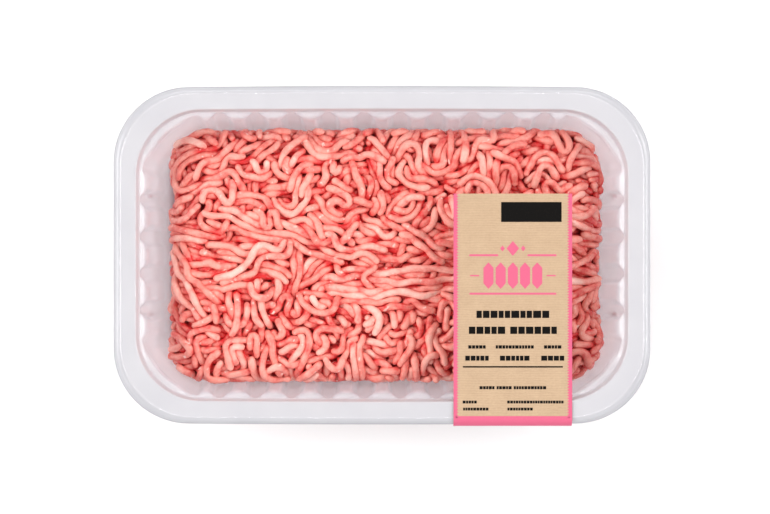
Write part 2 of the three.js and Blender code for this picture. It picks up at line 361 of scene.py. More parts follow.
def meat(name, dark, middle, light):
    """Moist minced meat: a lean to pale drift, fat flecks, and a fibrous skin. A low tone on the mesh,
    which carries painted shade, turns it towards the first, darkest colour.
    """
    material, tree = new_material(name)
    drift = noise(tree, 210, detail=4.0, roughness=0.6)
    tone = combine(tree, "ADD", drift, attribute(tree, "tone"))
    base = ramp(tree, tone, [(0.23, linear(dark)), (0.52, linear(middle)), (0.78, linear(light))])
    flecks = ramp(tree, noise(tree, 330, detail=2.0), [(0.66, (0, 0, 0, 1)), (0.74, (1, 1, 1, 1))])
    colour = mix_colours(tree, "MIX", flecks, base, linear(FAT_FLECK))
    rough = remap(tree, noise(tree, 700), (0.3, 0.7), (0.34, 0.52))
    normal = bump(tree, noise(tree, 1100), 0.22, strength=0.7)
    set_shader(tree, {"Base Color": colour, "Roughness": rough, "Normal": normal})
    return material


# Tray


def smooth_step(value):
    value = np.clip(value, 0.0, 1.0)
    return value * value * (3 - 2 * value)


def tray_corner(inset):
    """The rim's corners tighten a little towards the mouth, and the basin's are concentric with it."""
    share = min(inset, RIM_WIDTH) / RIM_WIDTH
    return RIM_CORNER + share * (MOUTH_CORNER - RIM_CORNER) - max(0.0, inset - RIM_WIDTH)


def perimeter():
    """Side, place along it from -1 to 1 and turn of the corner for each point round the tray."""
    basin_halves = np.array([LENGTH, WIDTH]) / 2 - RIM_WIDTH - MOUTH_CORNER
    rows = []
    for side in range(4):
        steps = round(2 * basin_halves[(side + 1) % 2] / SIDE_STEP)
        rows += [(side, 2 * k / steps - 1, 0.0) for k in range(steps)]
        rows += [(side, 1.0, k / CORNER_STEPS) for k in range(CORNER_STEPS)]
    return np.array(rows)


ROUND = perimeter()


def flute_share(z):
    """How deep in a flute each point of the perimeter lies at height z, from 0 to 1."""
    rise = np.clip((FLUTE_SHOULDER - z) / FLUTE_ARCH, 0.0, 1.0)
    arch = math.sqrt(max(0.0, 1 - (1 - rise) ** 2))
    straight = np.array([LENGTH, WIDTH]) / 2 - RIM_WIDTH - MOUTH_CORNER
    share = np.zeros(len(ROUND))
    for long_side, flutes in ((1, LONG_FLUTES), (0, SHORT_FLUTES)):
        on_side = (ROUND[:, 0] % 2 == long_side) & (ROUND[:, 2] == 0)
        along = ROUND[on_side, 1] * straight[1 - long_side]
        spread = (flutes["count"] - 1) / 2
        middle = np.clip(np.round(along / flutes["pitch"] + spread), 0, flutes["count"] - 1) - spread
        gap = flutes["half_width"] * arch - np.abs(along - middle * flutes["pitch"])
        share[on_side] = smooth_step(gap / FLUTE_SLOPE) * min(1.0, arch * 3)
    from_middle = np.abs(2 * ROUND[:, 2] - 1)
    in_corner = ROUND[:, 2] > 0
    share[in_corner] = CORNER_FLUTE * arch * smooth_step((from_middle[in_corner] - 0.3) / 0.6)
    return share


def highlight_spot(insets, offset, shape):
    """A soft oval of painted highlight at one inset, for each inset and each offset along the perimeter.
    """
    across = np.exp(-((offset / shape["half_width"]) ** 2))
    return across * np.exp(-(((insets[:, None] - shape["inset"]) / shape["half_depth"]) ** 2))


def painted_ledge_highlights(insets):
    """Painted highlights on the pillars' ledges and the corners' shoulders, by inset and perimeter
    point.
    """
    straight = np.array([LENGTH, WIDTH]) / 2 - RIM_WIDTH - MOUTH_CORNER
    side = ROUND[:, 0].astype(int) % 2
    along = ROUND[:, 1] * straight[1 - side]
    ledge_highlights = []
    for flutes, shape in ((LONG_FLUTES, LONG_LEDGE_HIGHLIGHT), (SHORT_FLUTES, SHORT_LEDGE_HIGHLIGHT)):
        from_pillar = along - np.round(along / flutes["pitch"]) * flutes["pitch"]
        last = (flutes["count"] / 2 - 1) * flutes["pitch"] + flutes["half_width"]
        ledge_highlights.append(highlight_spot(insets, from_pillar, shape) * (np.abs(along) < last))
    ledge_highlights[1] = np.maximum(ledge_highlights[1], highlight_spot(insets, np.abs(along) - SHORT_SPOT_HIGHLIGHT["place"], SHORT_SPOT_HIGHLIGHT))
    straights = np.where(side == 1, *ledge_highlights)
    return np.where(ROUND[:, 2] > 0, highlight_spot(insets, ROUND[:, 2] - 0.5, CRESCENT_HIGHLIGHT), straights)


def tray_ring(inset, z, outer=0.0):
    """Points round the tray at one height, with the flutes let in."""
    depth = np.interp(z + outer, FLUTE_HEIGHTS, FLUTE_DEPTHS, left=0, right=0)
    corner = tray_corner(inset)
    halves = np.array([LENGTH, WIDTH]) / 2 - inset
    turn = ROUND[:, 0] * math.pi / 2
    outward = np.stack([np.cos(turn), np.sin(turn)], axis=1)
    sideways = np.stack([-outward[:, 1], outward[:, 0]], axis=1)
    side = ROUND[:, 0].astype(int) % 2
    reach = halves[side] - corner
    along = (halves[1 - side] - corner) * ROUND[:, 1]
    angle = turn + ROUND[:, 2] * math.pi / 2
    bend = np.stack([np.cos(angle), np.sin(angle)], axis=1)
    radius = corner + depth * flute_share(z + outer)
    plan = outward * reach[:, None] + sideways * along[:, None] + bend * radius[:, None]
    plan[:, 1] *= 1 - EDGE_BOW * (2 * plan[:, 0] / LENGTH) ** 2
    return np.column_stack([plan, np.full(len(plan), z)])


def soften(points, cuts, steps=6):
    """A polyline whose inner corners are rounded, each cut back by its own length."""
    points = np.array(points, float)
    line = [points[0]]
    for before, corner, after, cut in zip(points, points[1:], points[2:], cuts):
        start = corner + (before - corner) * min(cut / np.linalg.norm(before - corner), 0.5)
        end = corner + (after - corner) * min(cut / np.linalg.norm(after - corner), 0.5)
        for t in np.linspace(0, 1, steps):
            line.append((1 - t) ** 2 * start + 2 * t * (1 - t) * corner + t * t * end)
    return np.array(line + [points[-1]])


def densify(line, step):
    """The same polyline with no stretch longer than step, but for the flat floor's."""
    out = [line[0]]
    for a, b in zip(line, line[1:]):
        on_floor = min(a[0], b[0]) > FLOOR_INSET
        pieces = 1 if on_floor else math.ceil(np.linalg.norm(b - a) / step)
        out += [a + (b - a) * k / pieces for k in range(1, pieces + 1)]
    return np.array(out)


def make_tray(material):
    """One skin of wall thickness: up the inside, over the rolled rim and down the outside."""
    top = HEIGHT
    foot = TRAY_FOOT
    inside = [(FLOOR_END, WALL), (foot, WALL), *TRAY_SHOULDER]
    inside += [(RIM_WIDTH, top), (RIM_ROUND, top), (0, top - SKIRT_DROP)]
    outside = [(WALL, top - SKIRT_DROP), (RIM_ROUND + WALL, top - WALL), (RIM_WIDTH - WALL, top - WALL)]
    outside += [(inset - WALL, z - WALL) for inset, z in TRAY_SHOULDER[::-1]]
    outside += [(foot - WALL, 0), (FLOOR_END, 0)]
    inside = densify(soften(inside, INSIDE_CUTS), PROFILE_STEP)
    outside = densify(soften(outside, OUTSIDE_CUTS), PROFILE_STEP)
    rings = [tray_ring(inset, z) for inset, z in inside]
    rings += [tray_ring(inset, z, outer=WALL / 2) for inset, z in outside]
    profile = np.vstack([inside, outside])
    tray = closed_skin("tray_skin", rings, [(0, 0, WALL), (0, 0, 0)], material)
    rim = smooth_step(RIM_WIDTH + RIM_FADE - profile[:, 0])
    # The rim is cloudy plastic; the ovals on the ledges added to it are painted highlights.
    rim_or_highlight = np.maximum(rim[:, None], LEDGE_HIGHLIGHT * painted_ledge_highlights(profile[:, 0]))
    set_attribute(tray, "rim", np.append(rim_or_highlight.ravel(), (0, 0)))
    # Painted shade on the outer edge: lighter on the rim's top, deeper down the skirt.
    edge_shade = PAINTED_EDGE_SHADE
    low = smooth_step((top - edge_shade["below"] - profile[:, 1]) / edge_shade["drop"])
    edge = smooth_step((edge_shade["inset"] - profile[:, 0]) / edge_shade["fade"])
    edge *= edge_shade["on_top"] + (1 - edge_shade["on_top"]) * low
    set_attribute(tray, "edge", np.append(np.repeat(edge, len(ROUND)), (0, 0)))
    return tray


def make_film(material):
    """The taut film, faintly rippled next to its seal."""
    inset = (LENGTH - (film_high[0] - film_low[0])) / 2
    edge = tray_ring(inset, 0.0)[::2]
    ripple = FILM_RIPPLE
    rings = []
    for z, order in ((film_high[2], FILM_RINGS[::-1]), (film_low[2], FILM_RINGS)):
        for share in order:
            ring = edge * share
            turn = np.arctan2(ring[:, 1], ring[:, 0])
            rippled = ripple["height"] * np.sin(ripple["round"] * turn + ripple["inward"] * share)
            rippled *= smooth_step((ripple["start"] - share) * ripple["rise"]) * share
            ring[:, 2] = z + np.where(share < 1, rippled, 0)
            rings.append(ring)
    return closed_skin("lidding_film", rings, [(0, 0, film_high[2]), (0, 0, film_low[2])], material)


# Label. Its face is a flat sheet, x across and s from the back edge, laid over the film and the rim.

LABEL_THICKNESS = 0.25
SLOPE_STEP = 0.2
PRINT_LIFT = 0.03
LABEL_PATH = soften(
    [
        (label_high[1], label_high[2] - PRINT_LIFT),
        (-WIDTH / 2 + 1.6, label_high[2] - PRINT_LIFT),
        (-WIDTH / 2 - 0.12, HEIGHT - 1.2),
        (label_low[1] + PRINT_LIFT, label_low[2]),
    ],
    [1.3, 1.3],
)
LABEL_PATH_LENGTHS = np.concatenate(
    [[0], np.cumsum(np.linalg.norm(np.diff(LABEL_PATH, axis=0), axis=1))]
)
LABEL_RUN = LABEL_PATH_LENGTHS[-1]
LABEL_WIDTH = label_high[0] - label_low[0]


def along_label(s):
    """The y and z of the label's face at distances s from its back edge."""
    return np.stack([np.interp(s, LABEL_PATH_LENGTHS, LABEL_PATH[:, k]) for k in range(2)])


def on_label(x, s, lift):
    """Points of the flat sheet, x from the label's left edge, laid on the label's face."""
    x, s = np.asarray(x, float), np.clip(np.asarray(s, float), 0, LABEL_RUN)
    y, z = along_label(s)
    dy, dz = along_label(s + SLOPE_STEP) - along_label(s - SLOPE_STEP)
    size = np.hypot(dy, dz)
    return np.stack([label_low[0] + x, y + lift * dz / size, z - lift * dy / size], axis=-1)


def sheet_grid(left, right, stations, lift):
    """Points and quads of a patch between two x lines, which may differ at each station."""
    points = np.vstack([on_label(left, stations, lift), on_label(right, stations, lift)])
    count = len(stations)
    return points, [(k, k + 1, count + k + 1, count + k) for k in range(count - 1)]


def label_stations(start, end):
    """Stations along the label, close together where it bends."""
    bend = LABEL_PATH_LENGTHS[(LABEL_PATH_LENGTHS > start) & (LABEL_PATH_LENGTHS < end)]
    return np.concatenate([[start], bend, [end]])


def make_label(material):
    stations = label_stations(0, LABEL_RUN)
    left, right = np.zeros(len(stations)), np.full(len(stations), LABEL_WIDTH)
    loops = [
        on_label(left, stations, 0),
        on_label(right, stations, 0),
        on_label(right, stations, -LABEL_THICKNESS),
        on_label(left, stations, -LABEL_THICKNESS),
    ]
    points = np.stack(loops, axis=1).reshape(-1, 3)
    faces = ring_quads(len(stations), 4)
    last = 4 * (len(stations) - 1)
    faces += [(3, 2, 1, 0), (last, last + 1, last + 2, last + 3)]
    return add_mesh("paper_label", points, faces, material, smooth=False)


class Print:
    """Patches of one ink, gathered into a single mesh on the label."""

    def __init__(self):
        self.points, self.faces = [], []

    def patch(self, points, faces):
        start = sum(len(p) for p in self.points)
        self.points.append(points)
        self.faces += [tuple(start + i for i in face) for face in faces]

    def band(self, x0, x1, s0, s1):
        stations = label_stations(s0, s1)
        ones = np.ones(len(stations))
        self.patch(*sheet_grid(x0 * ones, x1 * ones, stations, PRINT_LIFT))

    def outline(self, corners):
        corners = np.array(corners)
        self.patch(on_label(corners[:, 0], corners[:, 1], PRINT_LIFT), [tuple(range(len(corners)))])

    def bar(self, middle, s, width, height, round_ends=True):
        """A rule, with round or square ends."""
        if not round_ends:
            w, h = width / 2, height / 2
            left, right, back, front = middle - w, middle + w, s - h, s + h
            self.outline([(left, back), (left, front), (right, front), (right, back)])
            return
        radius = height / 2
        turns = np.linspace(-math.pi / 2, math.pi / 2, 9)
        reach = width / 2 - radius
        right = [(middle + reach + radius * math.cos(t), s + radius * math.sin(t)) for t in turns]
        left = [(2 * middle - x, 2 * s - y) for x, y in right]
        self.outline(right + left)

    def lozenge(self, middle, s, width, height):
        w, h = width / 2, height / 2
        self.outline([(middle - w, s), (middle, s + h), (middle + w, s), (middle, s - h)])

    def gem(self, middle, s, width, height, cut):
        """An upright six-sided figure whose four slanting sides are cut high."""
        w, h = width / 2, height / 2
        left, right, back, front = middle - w, middle + w, s - h + cut, s + h - cut
        points = [(left, back), (left, front), (middle, s + h), (right, front), (right, back)]
        self.outline(points + [(middle, s - h)])

    def line(self, rng, middle, s, width, height, words):
        """A printed line, stood in for by words of plain blocks of uneven width."""
        gap = 0.16 * height
        space = 0.7 * height
        room = width - space * (words - 1)
        counts = rng.multinomial(int(room / (0.95 * height)) - 2 * words, [1 / words] * words)
        wide = [rng.uniform(0.6, 1.0, n + 2) for n in counts]
        scale = (room - gap * (counts.sum() + words)) / sum(w.sum() for w in wide)
        x = middle - width / 2
        for word in wide:
            for block in word * scale:
                self.bar(x + block / 2, s, block, height, round_ends=False)
                x += block + gap
            x += space - gap

    def make(self, name, material):
        return add_mesh(name, np.vstack(self.points), self.faces, material, smooth=False)


# Print, with s measured from the label's back edge.
BORDER = dict(width=2.15, tooth=0.9, pitch=1.2)
FOOT_BAND_START = 94.9
PRINT_SEED = 11
MIDDLE = LABEL_WIDTH / 2


def print_borders(pink):
    """Both side borders with their toothed inner edges, and the band at the foot."""
    count = 2 * round(LABEL_RUN / BORDER["pitch"])
    stations = np.linspace(0, LABEL_RUN, count + 1)
    inner = BORDER["width"] - BORDER["tooth"] * (np.arange(count + 1) % 2)
    zero = np.zeros(count + 1)
    pink.patch(*sheet_grid(zero, inner, stations, PRINT_LIFT))
    pink.patch(*sheet_grid(LABEL_WIDTH - inner, LABEL_WIDTH - zero, stations, PRINT_LIFT))
    pink.band(1.0, LABEL_WIDTH - 1.0, FOOT_BAND_START, LABEL_RUN)


def print_ornament(pink):
    """A plain geometric device: rules, three lozenges, and a row of upright six-sided figures."""
    for side in (-1, 1):
        pink.bar(MIDDLE + side * 12.4, 26.3, 12.5, 0.85)
        pink.bar(MIDDLE + side * 16.3, 35.0, 4.0, 0.6)
        pink.lozenge(MIDDLE + side * 4.4, 23.4, 2.0, 2.6)
    pink.lozenge(MIDDLE, 23.4, 5.4, 6.4)
    pitch = 5.2
    for k in range(-2, 3):
        pink.gem(MIDDLE + k * pitch, 35.0, 4.3, 11.4, 2.4)
    pink.bar(MIDDLE, 42.7, 37.1, 0.85)


def print_bars(black):
    """A bare dark field, and plain bars where a label carries its lines."""
    black.band(LABEL_WIDTH - 30.3, LABEL_WIDTH - 4.5, 3.6, 12.1)
    rng = np.random.default_rng(PRINT_SEED)
    black.line(rng, MIDDLE, 51.5, 31.0, 3.1, 1)
    black.line(rng, MIDDLE, 58.3, 37.5, 3.1, 2)
    for x, thin, thick in ((-15.3, 7.4, 10.0), (0.8, 16.2, 12.6), (17.0, 7.4, 9.8)):
        black.line(rng, MIDDLE + x, 65.4, thin, 1.4, 1)
        black.line(rng, MIDDLE + x, 70.2, thick, 2.1, 1)
    black.bar(MIDDLE, 73.9, 42.8, 0.65)
    black.line(rng, MIDDLE, 82.8, 28.4, 1.3, 3)
    for x, wide, s in ((-18.4, 6.0, 88.9), (-15.8, 10.8, 91.9), (9.6, 24.0, 88.9), (3.1, 10.8, 91.9)):
        black.line(rng, MIDDLE + x, s, wide, 1.2, 1)


# Mince

core_half = (mince_high - mince_low)[:2] / 2 - CORE_INSIDE
core_top = mince_high[2] - CORE_BELOW


def swell(x, y):
    """Two gentle waves in the top of the heap."""
    broad, narrow = SWELL_BROAD, SWELL_NARROW
    wide = broad["height"] * np.sin(x / broad["x"] + broad["shift"]) * np.cos(y / broad["y"])
    return wide + narrow["height"] * np.sin(x / narrow["x"] - y / narrow["y"])


def on_heap(flat, lift):
    """A flat sheet laid over the core: across its top, round the rolled shoulder and down the side."""
    near = np.clip(flat, CORE_CORNER - core_half, core_half - CORE_CORNER)
    outward = flat - near
    length = np.linalg.norm(outward, axis=1)
    direction = outward / np.maximum(length, 1e-9)[:, None]
    flat_reach = CORE_CORNER - CORE_ROLL
    past = np.maximum(0, length - flat_reach)
    turn = np.minimum(past / CORE_ROLL, math.pi / 2)
    drop = np.maximum(0, past - CORE_ROLL * math.pi / 2)
    reach = np.minimum(length, flat_reach) + (CORE_ROLL + lift) * np.sin(turn) - CORE_DRAFT * drop
    plan = near + direction * reach[:, None]
    z = core_top + swell(near[:, 0], near[:, 1]) - CORE_ROLL + (CORE_ROLL + lift) * np.cos(turn) - drop
    return np.column_stack([plan[:, 0] + HEAP_SHIFT, plan[:, 1], z])


def plan_distance(xy, halves, corner):
    """Signed distance from a rounded rectangle's outline, and the direction away from it."""
    past = np.abs(xy) - (halves - np.reshape(corner, (-1, 1)))
    out = np.maximum(past, 0)
    length = np.linalg.norm(out, axis=1)
    deepest = past.max(axis=1)
    distance = length + np.minimum(deepest, 0) - corner
    inner = np.zeros_like(xy)
    inner[np.arange(len(xy)), past.argmax(axis=1)] = 1
    away = np.where(length[:, None] > 0, out / np.maximum(length, 1e-9)[:, None], inner)
    return distance, away * np.sign(xy)


def heap_distance(points):
    """Signed distance from the core's surface, and the direction away from it."""
    side, away = plan_distance(points[:, :2] - (HEAP_SHIFT, 0), core_half, CORE_CORNER)
    below = np.maximum(0, core_top - CORE_ROLL - points[:, 2])
    a = side + CORE_DRAFT * below + CORE_ROLL
    b = points[:, 2] - core_top - swell(points[:, 0], points[:, 1]) + CORE_ROLL
    out_a, out_b = np.maximum(a, 0), np.maximum(b, 0)
    length = np.hypot(out_a, out_b)
    distance = length + np.minimum(np.maximum(a, b), 0) - CORE_ROLL
    safe = np.maximum(length, 1e-9)
    share_a = np.where(length > 0, out_a / safe, a > b)
    share_b = np.where(length > 0, out_b / safe, a <= b)
    return distance, np.column_stack([away * share_a[:, None], share_b])


def keep_in_tray(points):
    """Push beads in from the tray's wall and up from its floor."""
    inset = np.interp(points[:, 2], (WALL, 2.4, 6.0, 42.0), (24.0, 20.2, 18.3, 14.7))
    halves = np.array([LENGTH, WIDTH])[None, :] / 2 - inset[:, None]
    corner = MOUTH_CORNER + RIM_WIDTH - inset
    side, away = plan_distance(points[:, :2], halves, corner)
    points[:, :2] -= away * np.maximum(0, side + STRAND_RADIUS + 0.15)[:, None]
    points[:, 2] = np.maximum(points[:, 2], LOWEST_STRAND)


# A bundle is a few strands side by side on one wavy line. Each layer's bundles fill what is barest.
# swing is how far the heading turns to each side, in radians, and cover is the share of the sheet.
# span is the part of the heap's width that the layer covers, from -1 at the front to 1 at the back.
LAYER_PARTS = ("lift", "cover", "span", "strands", "length", "swing", "slack")
LAYERS = [
    dict(zip(LAYER_PARTS, row))
    for row in (
        (0.2, 1.0, (-2, 2), (2, 5), (30, 60), (0.1, 0.6), (1.0, 6.0)),
        (2.8, 1.0, (-2, 2), (1, 4), (26, 60), (0.3, 1.2), (0.3, 4.0)),
        (5.4, 0.85, (0.3, 2), (1, 3), (20, 48), (0.8, 1.9), (0.0, 1.6)),
        (5.4, 0.8, (-0.42, 0.3), (2, 4), (36, 90), (0.1, 0.5), (1.0, 6.0)),
        (5.2, 0.95, (-2, -0.42), (1, 2), (12, 34), (1.3, 2.3), (0.0, 0.8)),
        (8.0, 0.45, (0.3, 2), (1, 2), (14, 40), (1.2, 2.2), (0.0, 1.0)),
        (8.0, 0.3, (-0.42, 0.3), (1, 2), (16, 50), (0.3, 1.4), (0.0, 3.0)),
        (7.6, 0.5, (-2, -0.42), (1, 2), (10, 26), (1.4, 2.4), (0.0, 0.6)),
    )
]
HEADING_SPREAD = 0.32
STEEP_SHARE = 0.12
CANDIDATES = 14
TIGHTEST_BEND = 1.9
CELL = 3.5


def flat_limit():
    """How far from the inner rectangle the sheet reaches, down to the lowest strand."""
    drop = core_top - CORE_ROLL - LOWEST_STRAND - 1.0
    return CORE_CORNER - CORE_ROLL + CORE_ROLL * math.pi / 2 + drop


def on_sheet(flat):
    near = np.clip(flat, CORE_CORNER - core_half, core_half - CORE_CORNER)
    return np.linalg.norm(flat - near, axis=1) < flat_limit()


def longest_run(mask):
    """The start and end of the longest run of true values."""
    edges = np.flatnonzero(np.diff(np.concatenate([[0], mask.astype(int), [0]])))
    starts, ends = edges[::2], edges[1::2]
    if not len(starts):
        return 0, 0
    best = (ends - starts).argmax()
    return starts[best], ends[best]


def bundle(rng, layer):
    """Strands side by side on one sine-generated line, around the origin of the flat sheet."""
    count = int(rng.integers(layer["strands"][0], layer["strands"][1] + 1))
    length = rng.uniform(*layer["length"])
    swing = rng.uniform(*layer["swing"])
    tightest = (count - 1) / 2 * STRAND_PITCH + TIGHTEST_BEND + rng.uniform(*layer["slack"])
    wave = 2 * math.pi * swing * tightest
    heading = rng.normal(0, HEADING_SPREAD) + (math.pi / 2 if rng.random() < STEEP_SHARE else 0)
    s = np.arange(0, length, BEAD_STEP)
    angle = heading + swing * np.sin(2 * math.pi * s / wave + rng.uniform(0, 2 * math.pi))
    line = np.cumsum(BEAD_STEP * np.stack([np.cos(angle), np.sin(angle)], axis=1), axis=0)
    line -= line.mean(axis=0)
    across = np.stack([-np.sin(angle), np.cos(angle)], axis=1)
    strands = []
    for k in range(count):
        strand = line + across * STRAND_PITCH * (k - (count - 1) / 2)
        ends = rng.integers(0, max(1, len(strand) // 4), 2)
        strands.append(spaced(strand[ends[0] : len(strand) - ends[1]], BEAD_STEP))
    return strands


def spaced(line, step):
    """The line with beads a step apart."""
    run = np.concatenate([[0], np.cumsum(np.linalg.norm(np.diff(line, axis=0), axis=1))])
    count = max(4, round(run[-1] / step) + 1)
    at = np.linspace(0, run[-1], count)
    return np.stack([np.interp(at, run, line[:, k]) for k in range(line.shape[1])], axis=1)


END_DIP = dict(depth=3.4, reach=7.0)
WEAVE = dict(height=1.3, wave=(12.0, 24.0))
LIFT_SPREAD = 1.4
SHORTEST = 4
FEWEST_BEADS = 6
FULL_COVER = 0.86
MOST_LAID = 1.5


def bead_lifts(rng, lift, count):
    """Heights of a strand's beads over the core: it weaves up and down, and its ends dive."""
    s = np.arange(count) * BEAD_STEP
    from_end = np.minimum(s, s[-1] - s) / END_DIP["reach"]
    waves = 2 * math.pi * s / rng.uniform(*WEAVE["wave"])
    weave = WEAVE["height"] * np.sin(waves + rng.uniform(0, 2 * math.pi))
    dip = END_DIP["depth"] * smooth_step(1 - from_end)
    return np.maximum(0, lift + rng.uniform(0, LIFT_SPREAD) + weave - dip)


def cells_of(flat, reach, laid):
    """The cell of the coverage grid that each flat point lies in."""
    last = np.array(laid.shape) - 1
    return tuple(np.clip(((flat + reach) / CELL).astype(int), 0, last).T)


def barest_place(rng, group, laid, reach, span):
    """The shift of a bundle, of several drawn, that lands where the least is laid, or None."""
    best = None
    for _ in range(CANDIDATES):
        shift = rng.uniform((-reach[0], span[0]), (reach[0], span[1]))
        flat = np.vstack(group) + shift
        flat = flat[on_sheet(flat)]
        if len(flat) < FEWEST_BEADS:
            continue
        crowd = laid[cells_of(flat, reach, laid)].mean() + 2.0 / len(flat)
        if best is None or crowd < best[0]:
            best = (crowd, shift)
    return None if best is None else best[1]


def lay_bundle(rng, group, shift, lift, laid, reach):
    """The bundle's strands as (flat points, lifts), cut to the sheet and counted in the grid."""
    strands = []
    for strand in group:
        flat = strand + shift
        start, end = longest_run(on_sheet(flat))
        if end - start < SHORTEST:
            continue
        flat = flat[start:end]
        np.add.at(laid, cells_of(flat, reach, laid), BEAD_STEP / CELL)
        strands.append((flat, bead_lifts(rng, lift, len(flat))))
    return strands


def lay_out(rng):
    """All strands as (flat points, lifts), layer by layer, each bundle where the layer is barest."""
    reach = core_half - CORE_CORNER + flat_limit()
    cells = np.ceil(2 * reach / CELL).astype(int) + 1
    axes = [np.arange(n) * CELL + CELL / 2 - r for n, r in zip(cells, reach)]
    xs, ys = np.meshgrid(*axes, indexing="ij")
    sheet = on_sheet(np.stack([xs.ravel(), ys.ravel()], axis=1))
    strands = []
    for layer in LAYERS:
        laid = np.zeros(cells)
        span = np.clip(np.array(layer["span"]) * core_half[1], -reach[1], reach[1])
        usable = (sheet & (ys.ravel() > span[0]) & (ys.ravel() < span[1])).sum()
        wanted = layer["cover"] * FULL_COVER * usable
        while (laid > 0).sum() < wanted and laid.sum() < MOST_LAID * usable:
            group = bundle(rng, layer)
            shift = barest_place(rng, group, laid, reach, span)
            if shift is not None:
                strands += lay_bundle(rng, group, shift, layer["lift"], laid, reach)
    return strands


def close_pairs(points, owner, place, reach):
    """Pairs of beads within reach of each other that aren't near neighbours on one strand."""
    cells = np.floor((points - points.min(axis=0)) / reach).astype(np.int64) + 1
    span = cells.max(axis=0) + 2
    key = cells[:, 0] + span[0] * (cells[:, 1] + span[1] * cells[:, 2])
    order = np.argsort(key, kind="stable")
    ordered = key[order]
    firsts, seconds = [], []
    steps = (-1, 0, 1)
    for offset in (x + span[0] * (y + span[1] * z) for x in steps for y in steps for z in steps):
        low = np.searchsorted(ordered, key + offset, "left")
        count = np.searchsorted(ordered, key + offset, "right") - low
        first = np.repeat(np.arange(len(key)), count)
        within = np.arange(count.sum()) - np.repeat(np.cumsum(count) - count, count)
        firsts.append(first)
        seconds.append(order[np.repeat(low, count) + within])
    first, second = np.concatenate(firsts), np.concatenate(seconds)
    apart = (owner[first] != owner[second]) | (np.abs(place[first] - place[second]) > 2)
    keep = (first < second) & apart
    first, second = first[keep], second[keep]
    near = np.linalg.norm(points[first] - points[second], axis=1) < reach
    return first[near], second[near]


def spring(points, first, second, rest, stiffness):
    """Move both ends of each link towards its rest length. No bead may be in two of the links."""
    gap = points[second] - points[first]
    length = np.linalg.norm(gap, axis=1)
    push = gap * (0.5 * stiffness * (length - rest) / np.maximum(length, 1e-6))[:, None]
    points[first] += push
    points[second] -= push


def push_apart(points, first, second, spacing):
    """Ease touching beads apart, each by the mean of what its contacts ask."""
    gap = points[second] - points[first]
    length = np.linalg.norm(gap, axis=1)
    touching = length < spacing
    first, second, gap, length = first[touching], second[touching], gap[touching], length[touching]
    push = gap * (0.5 * (spacing - length) / np.maximum(length, 1e-6))[:, None]
    count = np.bincount(first, minlength=len(points)) + np.bincount(second, minlength=len(points))
    share = 1 / np.maximum(1, count) ** 0.6
    for axis in range(3):
        away = np.bincount(second, push[:, axis], len(points))
        back = np.bincount(first, push[:, axis], len(points))
        points[:, axis] += (away - back) * share


SETTLE_ROUNDS = 130
SETTLE_PULL = 0.09
BEAD_SPACING = 2.9
PAIRS_EVERY = 6
PAIRS_MARGIN = 1.1
CORE_BITE = 0.3
# How many beads each kind of link skips to, and how stiff it is.
LINKS = ((1, 1.0), (2, 0.35), (3, 0.12))


def strand_links(points, owner, place):
    """Links along the strands, in groups where no bead is in two of the links."""
    links = []
    for skip, stiffness in LINKS:
        first = np.flatnonzero(owner[: len(owner) - skip] == owner[skip:])
        rest = np.linalg.norm(points[first + skip] - points[first], axis=1)
        rest = np.full(len(first), BEAD_STEP) if skip == 1 else rest
        for group in range(2 * skip):
            own = place[first] % (2 * skip) == group
            links.append((first[own], first[own] + skip, rest[own], stiffness))
    return links


def settle(strands):
    """Let the strands sink on to the core and on each other until they lie packed."""
    points = np.vstack([on_heap(flat, lift + STRAND_RADIUS) for flat, lift in strands])
    sizes = [len(flat) for flat, _ in strands]
    owner = np.repeat(np.arange(len(strands)), sizes)
    place = np.concatenate([np.arange(n) for n in sizes])
    links = strand_links(points, owner, place)
    for step in range(SETTLE_ROUNDS):
        if step % PAIRS_EVERY == 0:
            first, second = close_pairs(points, owner, place, BEAD_SPACING + PAIRS_MARGIN)
        distance, away = heap_distance(points)
        points -= SETTLE_PULL * away * (distance > STRAND_RADIUS)[:, None]
        for link in links:
            spring(points, *link)
        for _ in range(2):
            push_apart(points, first, second, BEAD_SPACING)
        distance, away = heap_distance(points)
        points += away * np.maximum(0, STRAND_RADIUS - CORE_BITE - distance)[:, None]
        keep_in_tray(points)
    cuts = np.cumsum(sizes)[:-1]
    return np.split(points, cuts), np.split(buried(points, owner, place), cuts)


BURIED_REACH = 4.6


def buried(points, owner, place):
    """How far each bead lies under others, from 0 in the open to 1 in a deep gap."""
    first, second = close_pairs(points, owner, place, BURIED_REACH)
    _, away = heap_distance(points)
    gap = points[second] - points[first]
    above = np.zeros(len(points))
    for own, sign in ((first, 1), (second, -1)):
        rise = sign * (gap * away[own]).sum(axis=1)
        above += np.bincount(own, np.clip((rise - 0.8) / BURIED_REACH, 0, 1), len(points))
    return np.clip(above / 2.2, 0, 1)


def smooth_curve(line, per_bead=5):
    """A Catmull-Rom curve through the beads."""
    line = line.copy()
    line[1:-1] = 0.5 * line[1:-1] + 0.25 * (line[:-2] + line[2:])
    ends = np.vstack([2 * line[0] - line[1], line, 2 * line[-1] - line[-2]])
    a, b, c, d = ends[:-3], ends[1:-2], ends[2:-1], ends[3:]
    square, cube = 2 * a - 5 * b + 4 * c - d, 3 * b - a - 3 * c + d
    times = np.arange(per_bead) / per_bead
    parts = [0.5 * (2 * b + (c - a) * t + square * t**2 + cube * t**3) for t in times]
    return np.vstack([np.stack(parts, axis=1).reshape(-1, 3), line[-1:]])


TUBE_SIDES = 8
TUBE_STEP = 1.35
TIP_STATIONS = (0.0, 0.1, 0.42, 0.95)
